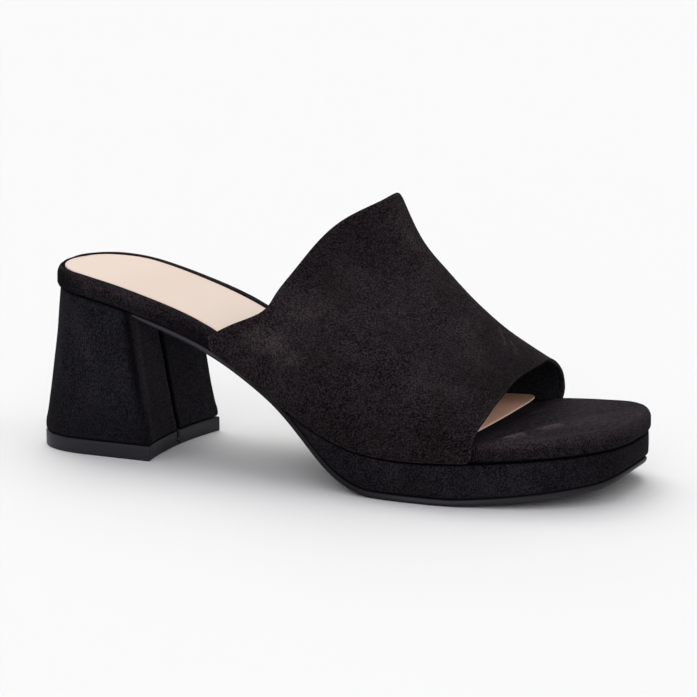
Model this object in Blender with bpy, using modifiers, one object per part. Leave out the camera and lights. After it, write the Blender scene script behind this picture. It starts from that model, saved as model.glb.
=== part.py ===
"""Open-toe platform mule on a block heel, for the right foot, at its real size.

A point of the shoe is (station, side, height): station runs forward from the back of the
footbed, side runs from the middle line towards the outer (lateral) side, height runs up from
the ground, all in millimetres. The finished part has its toe towards -Y, its lateral side
towards -X and its origin on the ground below the middle of its box.
"""

import math

import bpy
import numpy as np

MM = 0.001

# Driving sizes
LENGTH = 232.3  # footbed, from heel to toe tip
BALL_WIDTH = 86.0  # footbed, across the ball
SEAT_HEIGHT = 70.0  # top of the footbed at the heel
INSTEP_HEIGHT = 102.0  # top of the upper over the instep
GAP = 0.3  # between pieces that touch

# Layers
FOOTBED_TOP_ROUND = 2.7
FOOTBED_BOTTOM_ROUND = 2.4
SOLE_ROUND = 0.9
PLATFORM_ROUND = 1.6
INSOLE_THICKNESS = 0.7
INSOLE_ROUND = 0.3
INSOLE_INLAY = 0.7  # how far the footbed is skived down under the insole
INSOLE_INLAY_END = 0.792, 0.810  # shares of the length over which that step fades out
INSOLE_FRONT = 183.1  # before its rim is set in
INSOLE_FRONT_BOW = 0.9
INSOLE_FRONT_SKEW = 0.8  # its lateral end lies further forward than its medial end
INSOLE_CORNER = 8.6
WALL = 1.8
WALL_EDGE_ROUND = 0.55
WALL_OVERHANG = 2.0  # outer face of the upper past the footprint
WALL_TUCK = 1.0  # how far the lasted edge turns in at its foot
WALL_BASE_DROP = 1.0  # where the wall turns upright, below the footbed's top
ROUND_LIMIT = 0.45  # largest rim radius, as a share of the layer's thickness
SHARP_ANGLE = 50  # degrees past which an edge is drawn sharp

# Heel
SEAT_ROUND_LENGTH, SEAT_EXPONENT = 28.2, 2.37
HEEL_ROUND_LENGTH = 25.0
TOP_PIECE_THICKNESS = 5.7
TOP_PIECE_ROUND = 0.4
TOP_PIECE_LIP = 0.2
HEEL_RIM_ROUND = 0.5
HEEL_CORNER = 1.8
TOP_PIECE_CORNER = 0.4

# Toe
TOE_TIP_SIDE = -3.5
TOE_LATERAL_START, TOE_LATERAL_BEND, TOE_LATERAL_BLUNT = 0.713, 1.96, 2.62
TOE_MEDIAL_START, TOE_MEDIAL_BEND, TOE_MEDIAL_BLUNT = 0.783, 2.62, 2.76

# Ground contact under the forefoot, as shares of the length
FLAT_START, FLAT_END = 0.640, 0.755
SHANK_START = 41.2
PLATFORM_START = 110.0
SLOPE_REACH = 0.5  # half the stretch over which the ramp's slope is taken

# Half breadths of the footprint, in hundredths of the ball width
# station (hundredths of the length), lateral, medial
FOOTPRINT = (
    (12, 32.7, 31.9),
    (22, 31.8, 31.7),
    (30, 31.1, 31.5),
    (36, 32.2, 31.5),
    (44, 36.6, 33.1),
    (52, 42.6, 37.6),
    (60, 48.6, 43.0),
    (66, 50.9, 46.6),
    (71, 51.3, 48.6),
    (78, 49.4, 49.4),
)

# Walking line in hundredths of the seat height, and thickness of the footbed below it
# station (hundredths of the length), height, thickness (mm)
PROFILE = (
    (0, 101.0, 8.0),
    (10, 96.5, 7.2),
    (20, 88.3, 7.3),
    (30, 76.7, 7.2),
    (40, 60.2, 7.0),
    (50, 43.6, 7.0),
    (60, 33.5, 7.0),
    (70, 31.3, 7.0),
    (80, 32.9, 7.0),
    (90, 35.6, 7.0),
    (100, 38.2, 7.0),
)

# Underside of the outsole from the heel breast to the flat, in hundredths of the seat height
# station (hundredths of the length), underside
TREAD = (
    (17.5, 78.9),
    (20, 75.2),
    (25, 69.0),
    (30, 62.5),
    (35, 55.0),
    (40, 46.6),
    (45, 37.0),
    (50, 24.0),
    (55, 10.6),
    (60, 2.4),
    (64, 0.0),
)

# Toe spring of the outsole and its thickness, in millimetres
# station (hundredths of the length), underside, thickness
SPRING = (
    (75.5, 0.0, 2.4),
    (79, 0.45, 2.4),
    (83, 1.3, 2.4),
    (87, 2.3, 2.4),
    (91, 3.4, 2.4),
    (95, 4.75, 2.4),
    (98, 6.5, 2.3),
    (100, 10.0, 1.7),
)

# How far each layer's rim lies inside the footprint, in millimetres
# station (hundredths of the length), footbed, platform, outsole, insole
RIMS = (
    (0, 0.0, 1.0, 1.0, 2.9),
    (10, 0.0, 1.0, 1.0, 3.9),
    (29, 0.0, 1.0, 1.0, 4.2),
    (34, 0.9, 0.6, 0.8, 4.2),
    (45, 0.9, -0.4, -0.2, 4.2),
    (60, 0.9, -0.9, -1.3, 4.2),
    (70, 0.9, -0.7, -1.1, 4.2),
    (78, 0.9, -0.3, -0.6, 4.2),
    (82, 0.0, 0.4, 0.3, 4.2),
    (92, 0.0, 1.1, 1.3, 4.2),
    (100, 0.0, 0.9, 1.3, 4.2),
)

# How far the medial rim of the insole reaches out past its usual inset, in millimetres
# station (mm), reach
INSOLE_MEDIAL_REACH = ((0, -0.6), (12, -1.6), (100, -1.8), (125, 0.0), (160, 3.4), (190, 3.4))

# Sections of the heel, in millimetres
# down (0 at the seat, 1 at the top piece), back, breast, half width, side, hollow, exponent
HEEL = (
    (0.00, 0.3, 41.0, 27.5, 0.2, 1.0, 2.0),
    (0.45, -1.7, 44.4, 27.7, 0.2, 1.7, 2.3),
    (0.78, -4.3, 47.3, 28.0, 0.3, 2.4, 2.5),
    (1.00, -5.7, 49.2, 28.3, 0.4, 3.0, 2.65),
)

# Stations of the upper's two edges, in hundredths of the length
# across (-100 medial base, 0 ridge, 100 lateral base), back edge, front edge
EDGES = (
    (-100, 35.0, 80.7),
    (-90, 37.4, 81.1),
    (-80, 41.7, 81.3),
    (-65, 47.7, 81.6),
    (-50, 53.2, 81.8),
    (-35, 57.2, 82.1),
    (-18, 58.3, 82.7),
    (0, 58.5, 83.6),
    (15, 57.3, 83.3),
    (30, 53.0, 82.8),
    (45, 49.6, 82.6),
    (60, 46.8, 82.1),
    (72, 44.4, 81.6),
    (82, 42.0, 81.0),
    (90, 37.1, 80.7),
    (100, 32.5, 80.3),
)

# Sections of the upper from its back edge to its front edge
# along, ridge height (hundredths of the instep height), ridge side (mm), shoulder, flank
ARCHES = (
    (0.00, 100.3, -6.0, 0.39, 0.33),
    (0.12, 87.0, -4.7, 0.40, 0.44),
    (0.30, 75.0, -4.1, 0.41, 0.50),
    (0.50, 63.5, -4.4, 0.45, 0.53),
    (0.75, 52.2, -4.9, 0.49, 0.54),
    (1.00, 43.1, -4.9, 0.55, 0.56),
)

# Mesh density
FOOTBED_ROWS = 46
INSOLE_ROWS = 34
SHANK_ROWS = 9
RAMP_ROWS = 11
FLAT_ROWS = 5
TOE_ROWS = 12
HEEL_ROWS = 18
HEEL_LEVELS = (1.0, 0.9, 0.78, 0.64, 0.48, 0.32, 0.16, 0.0)
CORNER_STEPS = 3
END_POINTS = 5
ROUND_STEPS = 3
UPPER_COLUMNS = 40
UPPER_DROP_COLUMNS = 4
UPPER_ROWS = 20
FRONT_FADE = 8  # power with which a skewed front fades out towards the heel
POLE_SHARE = 0.012  # first and last row of a rounded end, off the very tip

ORIGIN_STATION = (LENGTH + HEEL[-1][1] - TOP_PIECE_LIP) / 2
ORIGIN_SIDE = 0.8

MATERIALS = {
    # name: base colour, roughness
    "black_suede": ((0.012, 0.010, 0.011), 0.95),
    "black_suede_platform": ((0.013, 0.011, 0.012), 0.95),
    "black_suede_footbed": ((0.014, 0.011, 0.012), 0.95),
    "black_suede_heel": ((0.012, 0.010, 0.012), 0.95),
    "beige_sock": ((0.78, 0.60, 0.47), 0.55),
    "black_rubber": ((0.018, 0.018, 0.020), 0.48),
    "black_rubber_top_piece": ((0.020, 0.020, 0.022), 0.50),
}


def curve(table, column, at, start_slope=None, end_slope=None):
    """Cubic spline with continuous curvature through one column of a table."""
    rows = np.array(table, float)
    x, y = rows[:, 0], rows[:, column]
    step = np.diff(x)
    rise = np.diff(y) / step
    count = len(x)
    system = np.zeros((count, count))
    right = np.zeros(count)
    system[0, :2] = 2, 1
    right[0] = 3 * rise[0]
    system[-1, -2:] = 1, 2
    right[-1] = 3 * rise[-1]
    if start_slope is not None:
        system[0, :2] = 1, 0
        right[0] = start_slope
    if end_slope is not None:
        system[-1, -2:] = 0, 1
        right[-1] = end_slope
    for i in range(1, count - 1):
        system[i, i - 1 : i + 2] = step[i], 2 * (step[i - 1] + step[i]), step[i - 1]
        right[i] = 3 * (step[i] * rise[i - 1] + step[i - 1] * rise[i])
    slope = np.linalg.solve(system, right)
    at = np.clip(np.asarray(at, float), x[0], x[-1])
    i = np.clip(np.searchsorted(x, at, side="right") - 1, 0, count - 2)
    t = (at - x[i]) / step[i]
    start = y[i] * (1 + 2 * t) * (1 - t) ** 2 + slope[i] * step[i] * t * (1 - t) ** 2
    end = y[i + 1] * t * t * (3 - 2 * t) + slope[i + 1] * step[i] * t * t * (t - 1)
    return start + end


def rounded(reach, bend, blunt):
    """Half breadth of a rounded end, 1 where it starts (reach 0) and 0 at its tip (reach 1)."""
    return (1 - np.clip(reach, 0, 1) ** bend) ** (1 / blunt)


def half_breadth(station, lateral):
    """Distance from the middle line to the footprint's edge on one side."""
    share = np.asarray(station, float) / LENGTH
    column = 1 if lateral else 2
    breadth = curve(FOOTPRINT, column, share * 100) * BALL_WIDTH / 100
    seat_reach = 1 - share * LENGTH / SEAT_ROUND_LENGTH
    breadth = breadth * rounded(seat_reach, SEAT_EXPONENT, SEAT_EXPONENT)
    start = TOE_LATERAL_START if lateral else TOE_MEDIAL_START
    bend = TOE_LATERAL_BEND if lateral else TOE_MEDIAL_BEND
    blunt = TOE_LATERAL_BLUNT if lateral else TOE_MEDIAL_BLUNT
    tip = TOE_TIP_SIDE if lateral else -TOE_TIP_SIDE
    widest = curve(FOOTPRINT, column, start * 100) * BALL_WIDTH / 100
    toe = tip + (widest - tip) * rounded((share - start) / (1 - start), bend, blunt)
    return np.where(share > start, toe, breadth)


def walking_line(station):
    """Height of the surface that the foot stands on."""
    return curve(PROFILE, 1, np.asarray(station) / LENGTH * 100) * SEAT_HEIGHT / 100


def footbed_top(station):
    start, end = INSOLE_INLAY_END
    fade = np.clip((end - np.asarray(station) / LENGTH) / (end - start), 0, 1)
    return walking_line(station) - INSOLE_INLAY * fade


def footbed_thickness(station):
    return curve(PROFILE, 2, np.asarray(station) / LENGTH * 100)


def footbed_bottom(station):
    return walking_line(station) - footbed_thickness(station)


def tread(station):
    """Underside of the outsole: waist and ramp, a true flat, then the toe spring."""
    share = np.asarray(station, float) / LENGTH
    waist = curve(TREAD, 1, share * 100, end_slope=0) * SEAT_HEIGHT / 100
    spring = curve(SPRING, 1, share * 100, start_slope=0)
    return np.where(share < FLAT_START, waist, spring)


def sole_top(station):
    """Top of the outsole, as thick square to the ramp as it is on the flat."""
    station = np.asarray(station, float)
    thickness = curve(SPRING, 2, station / LENGTH * 100)
    fall = (tread(station - SLOPE_REACH) - tread(station + SLOPE_REACH)) / (2 * SLOPE_REACH)
    thickness = thickness * np.hypot(1, np.maximum(fall, 0))
    return np.minimum(tread(station) + thickness, footbed_bottom(station) - GAP)


def platform_bottom(station):
    return sole_top(station) + GAP


def platform_top(station):
    return footbed_bottom(station) - GAP


def insole_bottom(station):
    return footbed_top(station) + GAP


def insole_top(station):
    return insole_bottom(station) + INSOLE_THICKNESS


def rim_inset(station, column):
    rows = np.array(RIMS, float)
    return np.interp(np.asarray(station) / LENGTH * 100, rows[:, 0], rows[:, column])


def spread(first, last, count, round_first=False, round_last=False):
    """Stations that crowd together towards a rounded end."""
    low = POLE_SHARE if round_first else 0.0
    high = 1 - POLE_SHARE if round_last else 1.0
    t = np.linspace(low, high, count)
    if round_first and round_last:
        t = (1 - np.cos(math.pi * t)) / 2
    elif round_first:
        t = 1 - np.cos(math.pi * t / 2)
    elif round_last:
        t = np.sin(math.pi * t / 2)
    return first + (last - first) * t


def footprint_loop(stations, bow, corner, medial_reach):
    """Closed loop in plan: lateral side forward, front end, medial side back."""
    lateral = np.stack([stations, half_breadth(stations, True)], axis=1)
    medial = np.stack([stations, -half_breadth(stations, False)], axis=1)
    if medial_reach:
        medial[:, 1] -= np.interp(stations, *np.array(medial_reach).T)
    return close_loop(lateral, medial, bow, corner)


def close_loop(lateral, medial, bow, corner):
    """Joins two sides across the front, round two corners. Bow pushes its middle forward."""
    if corner:
        turn = np.linspace(0, math.pi / 2, CORNER_STEPS + 1)[1:]
        arc = np.stack([np.sin(turn), np.cos(turn) - 1], axis=1) * corner
        lateral = np.concatenate([lateral, lateral[-1] + arc])
        medial = np.concatenate([medial, medial[-1] + arc * (1, -1)])
    share = np.linspace(0, 1, END_POINTS + 2)[1:-1, None]
    front = lateral[-1] + (medial[-1] - lateral[-1]) * share
    front[:, 0] += bow * 4 * share[:, 0] * (1 - share[:, 0])
    return np.concatenate([lateral, front, medial[::-1]])


def inward(loop, distance):
    """Moves a loop in plan towards its inside, with mitred corners."""
    ahead = np.roll(loop, -1, axis=0) - loop
    ahead = ahead / np.linalg.norm(ahead, axis=1, keepdims=True)
    behind = np.roll(ahead, 1, axis=0)
    normal_ahead = np.stack([ahead[:, 1], -ahead[:, 0]], axis=1)
    normal_behind = np.stack([behind[:, 1], -behind[:, 0]], axis=1)
    both = (normal_ahead * normal_behind).sum(axis=1, keepdims=True)
    mitre = (normal_ahead + normal_behind) / (1 + both)
    return loop + mitre * np.broadcast_to(distance, len(loop))[:, None]


def layer_rings(loop, bottom, top, bottom_round, top_round):
    """Rings of a layer with rounded rims, from its underside up to its top."""
    thickness = top(loop[:, 0]) - bottom(loop[:, 0])
    low_round = np.minimum(bottom_round, ROUND_LIMIT * thickness)
    high_round = np.minimum(top_round, ROUND_LIMIT * thickness)
    rings = []
    for step in range(ROUND_STEPS + 1):
        turn = math.pi / 2 * step / ROUND_STEPS
        ring = inward(loop, low_round * (1 - math.sin(turn)))
        height = bottom(ring[:, 0]) + low_round * (1 - math.cos(turn))
        rings.append(np.column_stack([ring, height]))
    for step in range(ROUND_STEPS, -1, -1):
        turn = math.pi / 2 * step / ROUND_STEPS
        ring = inward(loop, high_round * (1 - math.sin(turn)))
        height = top(ring[:, 0]) - high_round * (1 - math.cos(turn))
        rings.append(np.column_stack([ring, height]))
    return rings


def to_frame(points):
    """Turns (station, side, height) in millimetres into the part's own frame in metres."""
    station, side, height = points[:, 0], points[:, 1], points[:, 2]
    placed = np.column_stack([ORIGIN_SIDE - side, ORIGIN_STATION - station, height])
    return placed * MM


def add_object(name, vertices, faces, material):
    mesh = bpy.data.meshes.new(name)
    mesh.from_pydata(vertices.tolist(), [], faces)
    mesh.shade_smooth()
    mesh.set_sharp_from_angle(angle=math.radians(SHARP_ANGLE))
    mesh.materials.append(make_material(material))
    piece = bpy.data.objects.new(name, mesh)
    shoe.objects.link(piece)
    return piece


def make_material(name):
    colour, roughness = MATERIALS[name]
    material = bpy.data.materials.new(name)
    material.use_nodes = True
    surface = material.node_tree.nodes["Principled BSDF"]
    surface.inputs["Base Color"].default_value = (*colour, 1)
    surface.inputs["Roughness"].default_value = roughness
    surface.inputs["Metallic"].default_value = 0.0
    material.diffuse_color = (*colour, 1)
    return material


def loft(name, rings, rows, material):
    """Skins equal rings and closes both ends with strips from the lateral to the medial side."""
    size = len(rings[0])
    vertices = to_frame(np.concatenate(rings))
    faces = []
    for level in range(len(rings) - 1):
        for i in range(size):
            low, low_next = level * size + i, level * size + (i + 1) % size
            faces.append((low, low_next, low_next + size, low + size))
    for start, upward in ((0, False), ((len(rings) - 1) * size, True)):
        for row in range(rows - 1):
            strip = [row, row + 1, size - 2 - row, size - 1 - row]
            if row == rows - 2:
                strip = [row, *range(rows - 1, size - rows + 1), size - 1 - row]
            strip = [start + corner for corner in strip]
            faces.append(strip if upward else strip[::-1])
    return add_object(name, vertices, faces, material)


def layer(
    name,
    stations,
    column,
    bottom,
    top,
    rounds,
    material,
    bow=0.0,
    skew=0.0,
    corner=0.0,
    medial_reach=(),
):
    """One layer of the shoe over the footprint, between two heights."""
    loop = footprint_loop(stations, bow, corner, medial_reach)
    loop = inward(loop, rim_inset(loop[:, 0], column))
    loop[:, 0] += skew * loop[:, 1] / BALL_WIDTH * (loop[:, 0] / stations[-1]) ** FRONT_FADE
    rings = layer_rings(loop, bottom, top, *rounds)
    return loft(name, rings, len(stations), material)


def forefoot_stations():
    """Rows of the platform, closest along its ramp and round the toe."""
    flat_start, flat_end = FLAT_START * LENGTH, FLAT_END * LENGTH
    ramp = np.linspace(PLATFORM_START, flat_start, RAMP_ROWS)
    flat = np.linspace(flat_start, flat_end, FLAT_ROWS)
    toe = spread(flat_end, LENGTH, TOE_ROWS, round_last=True)
    return np.concatenate([ramp, flat[1:], toe[1:]])


def make_footbed():
    stations = spread(0, LENGTH, FOOTBED_ROWS, round_first=True, round_last=True)
    rounds = FOOTBED_BOTTOM_ROUND, FOOTBED_TOP_ROUND
    layer("footbed", stations, 1, footbed_bottom, footbed_top, rounds, "black_suede_footbed")


def make_platform():
    rounds = PLATFORM_ROUND, PLATFORM_ROUND
    stations = forefoot_stations()
    layer("platform", stations, 2, platform_bottom, platform_top, rounds, "black_suede_platform")


def make_outsole():
    shank = np.linspace(SHANK_START, PLATFORM_START, SHANK_ROWS)
    stations = np.concatenate([shank[:-1], forefoot_stations()])
    rounds = SOLE_ROUND, SOLE_ROUND / 2
    layer("outsole", stations, 3, tread, sole_top, rounds, "black_rubber")


def make_insole():
    end = INSOLE_FRONT - INSOLE_CORNER
    stations = spread(0, end, INSOLE_ROWS, round_first=True)
    rounds = INSOLE_ROUND, INSOLE_ROUND
    layer(
        "insole",
        stations,
        4,
        insole_bottom,
        insole_top,
        rounds,
        "beige_sock",
        bow=INSOLE_FRONT_BOW,
        skew=INSOLE_FRONT_SKEW,
        corner=INSOLE_CORNER,
        medial_reach=INSOLE_MEDIAL_REACH,
    )


def heel_loop(down, corner, lip=0.0):
    """Plan of the heel at one level: rounded back, straight sides, hollow breast."""
    sizes = [float(curve(HEEL, column, down)) for column in range(1, 7)]
    back, breast, width, middle, hollow, exponent = sizes
    stations = spread(back, breast - corner, HEEL_ROWS, round_first=True)
    reach = (HEEL_ROUND_LENGTH - stations) / (HEEL_ROUND_LENGTH - back)
    side = width * rounded(reach, exponent, exponent)
    lateral = np.stack([stations, middle + side], axis=1)
    medial = np.stack([stations, middle - side], axis=1)
    return inward(close_loop(lateral, medial, -hollow, corner), -lip)


def make_heel():
    foot = TOP_PIECE_THICKNESS + GAP
    rings = []
    for down in HEEL_LEVELS:
        loop = heel_loop(down, HEEL_CORNER)
        seat = footbed_bottom(loop[:, 0]) - GAP
        rings.append(np.column_stack([loop, foot + (seat - foot) * (1 - down)]))
    rim = inward(rings[0][:, :2], HEEL_RIM_ROUND)
    rings[0][:, 2] += HEEL_RIM_ROUND
    rings.insert(0, np.column_stack([rim, np.full(len(rim), foot)]))
    loft("heel", rings, HEEL_ROWS, "black_suede_heel")


def make_top_piece():
    loop = heel_loop(1.0, TOP_PIECE_CORNER, lip=TOP_PIECE_LIP)
    levels = (
        (TOP_PIECE_ROUND, 0.0),
        (0.0, TOP_PIECE_ROUND),
        (0.0, TOP_PIECE_THICKNESS - TOP_PIECE_ROUND),
        (TOP_PIECE_ROUND, TOP_PIECE_THICKNESS),
    )
    rings = []
    for inset, height in levels:
        ring = inward(loop, inset)
        rings.append(np.column_stack([ring, np.full(len(ring), height)]))
    loft("heel_top_piece", rings, HEEL_ROWS, "black_rubber_top_piece")


def upper_surface(along, across):
    """Outer face of the upper. Past -1 or 1, across runs down the lasted edge to its foot."""
    edge = np.clip(across, -1, 1)
    back = curve(EDGES, 1, edge * 100) * LENGTH / 100
    front = curve(EDGES, 2, edge * 100) * LENGTH / 100
    station = back + (front - back) * along
    on_lateral = edge >= 0
    base_back, base_front = np.where(on_lateral, EDGES[-1][1], EDGES[0][1]), EDGES[0][2]
    base = (base_back + (base_front - base_back) * along) * LENGTH / 100
    breadth = half_breadth(station, True), -half_breadth(station, False)
    wall = np.where(on_lateral, breadth[0] + WALL_OVERHANG, breadth[1] - WALL_OVERHANG)
    foot = walking_line(base) - WALL_BASE_DROP
    ridge = curve(ARCHES, 1, along) * INSTEP_HEIGHT / 100
    middle = curve(ARCHES, 2, along)
    shoulder, flank = curve(ARCHES, 3, along), curve(ARCHES, 4, along)
    t = np.abs(edge)
    outward = 3 * (1 - t) ** 2 * t * shoulder + 3 * (1 - t) * t**2 + t**3
    upward = (1 - t) ** 3 + 3 * (1 - t) ** 2 * t + 3 * (1 - t) * t**2 * flank
    side = middle + (wall - middle) * outward
    height = foot + (ridge - foot) * upward
    depth = np.clip(np.abs(across) - 1, 0, 1)
    side = side - np.sign(edge) * WALL_TUCK * depth**3
    height = height - (footbed_thickness(base) - WALL_BASE_DROP) * depth
    return np.stack([station, side, height], axis=-1)


def make_upper():
    arch = np.linspace(-1, 1, UPPER_COLUMNS + 1)
    drop = 1 + np.linspace(0, 1, UPPER_DROP_COLUMNS + 1)[1:]
    across = np.concatenate([-drop[::-1], arch, drop])
    along = np.linspace(0, 1, UPPER_ROWS + 1)
    grid = upper_surface(along[:, None] + 0 * across, across + 0 * along[:, None])
    width = len(across)
    vertices = to_frame(grid.reshape(-1, 3))
    faces = []
    for row in range(UPPER_ROWS):
        for column in range(width - 1):
            corner = row * width + column
            faces.append((corner, corner + 1, corner + width + 1, corner + width))
    upper = add_object("upper", vertices, faces, "black_suede")
    wall = upper.modifiers.new("wall", "SOLIDIFY")
    wall.thickness = WALL * MM
    wall.offset = -1.0
    turned = upper.modifiers.new("turned_edge", "BEVEL")
    turned.width = WALL_EDGE_ROUND * MM
    turned.segments = 2
    turned.limit_method = "ANGLE"
    turned.angle_limit = math.radians(SHARP_ANGLE)


def clear_scene():
    for thing in list(bpy.data.objects):
        bpy.data.objects.remove(thing)


clear_scene()
shoe = bpy.data.collections.new("platform_mule")
bpy.context.scene.collection.children.link(shoe)
make_outsole()
make_platform()
make_footbed()
make_insole()
make_heel()
make_top_piece()
make_upper()
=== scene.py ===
from math import cos, pi, radians, sin

import bpy
import numpy as np
from mathutils import Euler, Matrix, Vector


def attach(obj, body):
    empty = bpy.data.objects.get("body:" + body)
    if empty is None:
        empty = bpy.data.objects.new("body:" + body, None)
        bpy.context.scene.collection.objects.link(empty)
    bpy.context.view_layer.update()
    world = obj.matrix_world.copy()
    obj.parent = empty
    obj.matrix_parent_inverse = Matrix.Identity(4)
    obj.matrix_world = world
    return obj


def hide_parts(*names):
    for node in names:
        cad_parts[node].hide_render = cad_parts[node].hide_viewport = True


# Suede platform mule on a block heel, right foot.
# Shapes are worked out as (station, side, height) in millimetres: station runs forward from
# the back of the footbed, side towards the outer side of the foot, height up from the ground.

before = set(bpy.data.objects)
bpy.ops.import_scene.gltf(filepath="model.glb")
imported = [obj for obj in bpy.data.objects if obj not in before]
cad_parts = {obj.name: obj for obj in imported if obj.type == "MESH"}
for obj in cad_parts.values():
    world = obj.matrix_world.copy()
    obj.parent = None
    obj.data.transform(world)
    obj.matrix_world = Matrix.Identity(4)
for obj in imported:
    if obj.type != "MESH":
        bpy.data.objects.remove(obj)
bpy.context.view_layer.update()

shoe = {
    "length": 232.3, "ballWidth": 86.0, "seatHeight": 70.0, "instepHeight": 102.0,
    "gap": 0.3,  # between pieces that touch
    "originStation": 113.2, "originSide": 0.8,
    "seatRound": (28.2, 2.37),  # length of the round seat, exponent
    "toeTipSide": -3.5,
    "toeLateral": (0.713, 1.96, 2.62),  # start, bend, blunt
    "toeMedial": (0.783, 2.62, 2.76),
    "flat": (0.640, 0.755),
    "inlay": 0.7, "inlayEnd": (0.792, 0.810),
    "slopeReach": 0.5,
    "pole": 0.012,  # share of the way in at which a round end starts
    "roundLimit": 0.45,  # largest round, as a share of the layer's thickness
}

# half breadths in hundredths of the ball width: station, lateral, medial
footprint = (
    (12, 32.7, 31.9), (22, 31.8, 31.7), (30, 31.1, 31.5), (36, 32.2, 31.5), (44, 36.6, 33.1),
    (52, 42.6, 37.6), (60, 48.6, 43.0), (66, 50.9, 46.6), (71, 51.3, 48.6), (78, 49.4, 49.4),
)
# walking line in hundredths of the seat height, footbed thickness: station, height, mm
profile = (
    (0, 101.0, 8.0), (10, 96.5, 7.2), (20, 88.3, 7.3), (30, 76.7, 7.2), (40, 60.2, 7.0),
    (50, 43.6, 7.0), (60, 33.5, 7.0), (70, 31.3, 7.0), (80, 32.9, 7.0), (90, 35.6, 7.0),
    (100, 38.2, 7.0),
)
# underside of the outsole up to the flat: station, hundredths of the seat height
tread = (
    (17.5, 78.9), (20, 75.2), (25, 69.0), (30, 62.5), (35, 55.0), (40, 46.6), (45, 37.0),
    (50, 24.0), (55, 10.6), (60, 2.4), (64, 0.0),
)
# toe spring: station, underside mm, sole thickness mm
spring = (
    (75.5, 0.0, 2.4), (79, 0.45, 2.4), (83, 1.3, 2.4), (87, 2.3, 2.4), (91, 3.4, 2.4),
    (95, 4.75, 2.4), (98, 6.5, 2.3), (100, 10.0, 1.7),
)
# rims inside the footprint, mm: station, footbed, platform, outsole, insole
rims = (
    (0, 0.0, 1.0, 1.0, 2.9), (10, 0.0, 1.0, 1.0, 3.9), (29, 0.0, 1.0, 1.0, 4.2),
    (34, 0.9, 0.6, 0.8, 4.2), (45, 0.9, -0.4, -0.2, 4.2), (60, 0.9, -0.9, -1.3, 4.2),
    (70, 0.9, -0.7, -1.1, 4.2), (78, 0.9, -0.3, -0.6, 4.2), (82, 0.0, 0.4, 0.3, 4.2),
    (92, 0.0, 1.1, 1.3, 4.2), (100, 0.0, 0.9, 1.3, 4.2),
)


# how far the sock's medial rim reaches out past its usual inset: station, mm
medialReach = ((0, -0.6), (12, -1.6), (100, -1.8), (125, 0.0), (160, 3.4), (190, 3.4))


# cubic spline with continuous curvature through one column of a table, natural at its ends
# unless a slope is given
def curve(table, column, at, startSlope=None, endSlope=None):
    x, y = np.array(table, float)[:, [0, column]].T
    step, count = np.diff(x), len(x)
    rise = np.diff(y) / step
    system, right = np.zeros((count, count)), np.zeros(count)
    system[0, :2], right[0] = (2, 1), 3 * rise[0]
    system[-1, -2:], right[-1] = (1, 2), 3 * rise[-1]
    if startSlope is not None:
        system[0, :2], right[0] = (1, 0), startSlope
    if endSlope is not None:
        system[-1, -2:], right[-1] = (0, 1), endSlope
    inner = np.arange(1, count - 1)
    system[inner, inner - 1] = step[1:]
    system[inner, inner] = 2 * (step[:-1] + step[1:])
    system[inner, inner + 1] = step[:-1]
    right[inner] = 3 * (step[1:] * rise[:-1] + step[:-1] * rise[1:])
    slope = np.linalg.solve(system, right)
    at = np.clip(np.asarray(at, float), x[0], x[-1])
    i = np.clip(np.searchsorted(x, at, side="right") - 1, 0, count - 2)
    t = (at - x[i]) / step[i]
    start = y[i] * (1 + 2 * t) * (1 - t) ** 2 + slope[i] * step[i] * t * (1 - t) ** 2
    end = y[i + 1] * t * t * (3 - 2 * t) + slope[i + 1] * step[i] * t * t * (t - 1)
    return start + end


# superellipse quarter: 1 at reach 0, 0 at reach 1
def rounded(reach, bend, blunt):
    return (1 - np.clip(reach, 0, 1) ** bend) ** (1 / blunt)


# 0 at low and 1 at high, with a soft start and end; it falls where low is the larger
def smooth(value, low, high):
    t = np.clip((value - low) / (high - low), 0, 1)
    return t * t * (3 - 2 * t)


# rises between the first two places and falls between the last two
def band(value, first, second, third, last):
    return smooth(value, first, second) * smooth(value, last, third)


# bell: e to the power of minus the square of value over width
def bell(value, width):
    return np.exp(-((value / width) ** 2))


# station in hundredths of the shoe's length
def percent(station):
    return np.asarray(station, float) / shoe["length"] * 100


# distance from the middle line to the footprint's edge: the table between, a superellipse
# at the seat and another at the toe
def halfBreadth(station, lateral):
    share = percent(station) / 100
    column = 1 if lateral else 2
    breadth = curve(footprint, column, share * 100) * shoe["ballWidth"] / 100
    seatLength, seatPower = shoe["seatRound"]
    breadth = breadth * rounded(1 - share * shoe["length"] / seatLength, seatPower, seatPower)
    start, bend, blunt = shoe["toeLateral"] if lateral else shoe["toeMedial"]
    tip = shoe["toeTipSide"] if lateral else -shoe["toeTipSide"]
    widest = curve(footprint, column, start * 100) * shoe["ballWidth"] / 100
    toe = tip + (widest - tip) * rounded((share - start) / (1 - start), bend, blunt)
    return np.where(share > start, toe, breadth)


# distance inside the footprint's edge: sides and ends multiplied, over their hypotenuse
def distanceToRim(station, side):
    across = np.minimum(halfBreadth(station, True) - side, halfBreadth(station, False) + side)
    ends = np.minimum(station, shoe["length"] - station)
    return across * ends / np.maximum(np.hypot(across, ends), 1e-6)


# the table's height of the foot's bed, before the sock is let in
def walkingLine(station):
    return curve(profile, 1, percent(station)) * shoe["seatHeight"] / 100


# the table's thickness of the footbed
def footbedThickness(station):
    return curve(profile, 2, percent(station))


# the walking line, let in for the sock up to where the inlay fades
def footbedTop(station):
    start, end = shoe["inlayEnd"]
    fade = np.clip((end - percent(station) / 100) / (end - start), 0, 1)
    return walkingLine(station) - shoe["inlay"] * fade


def footbedBottom(station):
    return walkingLine(station) - footbedThickness(station)


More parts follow.
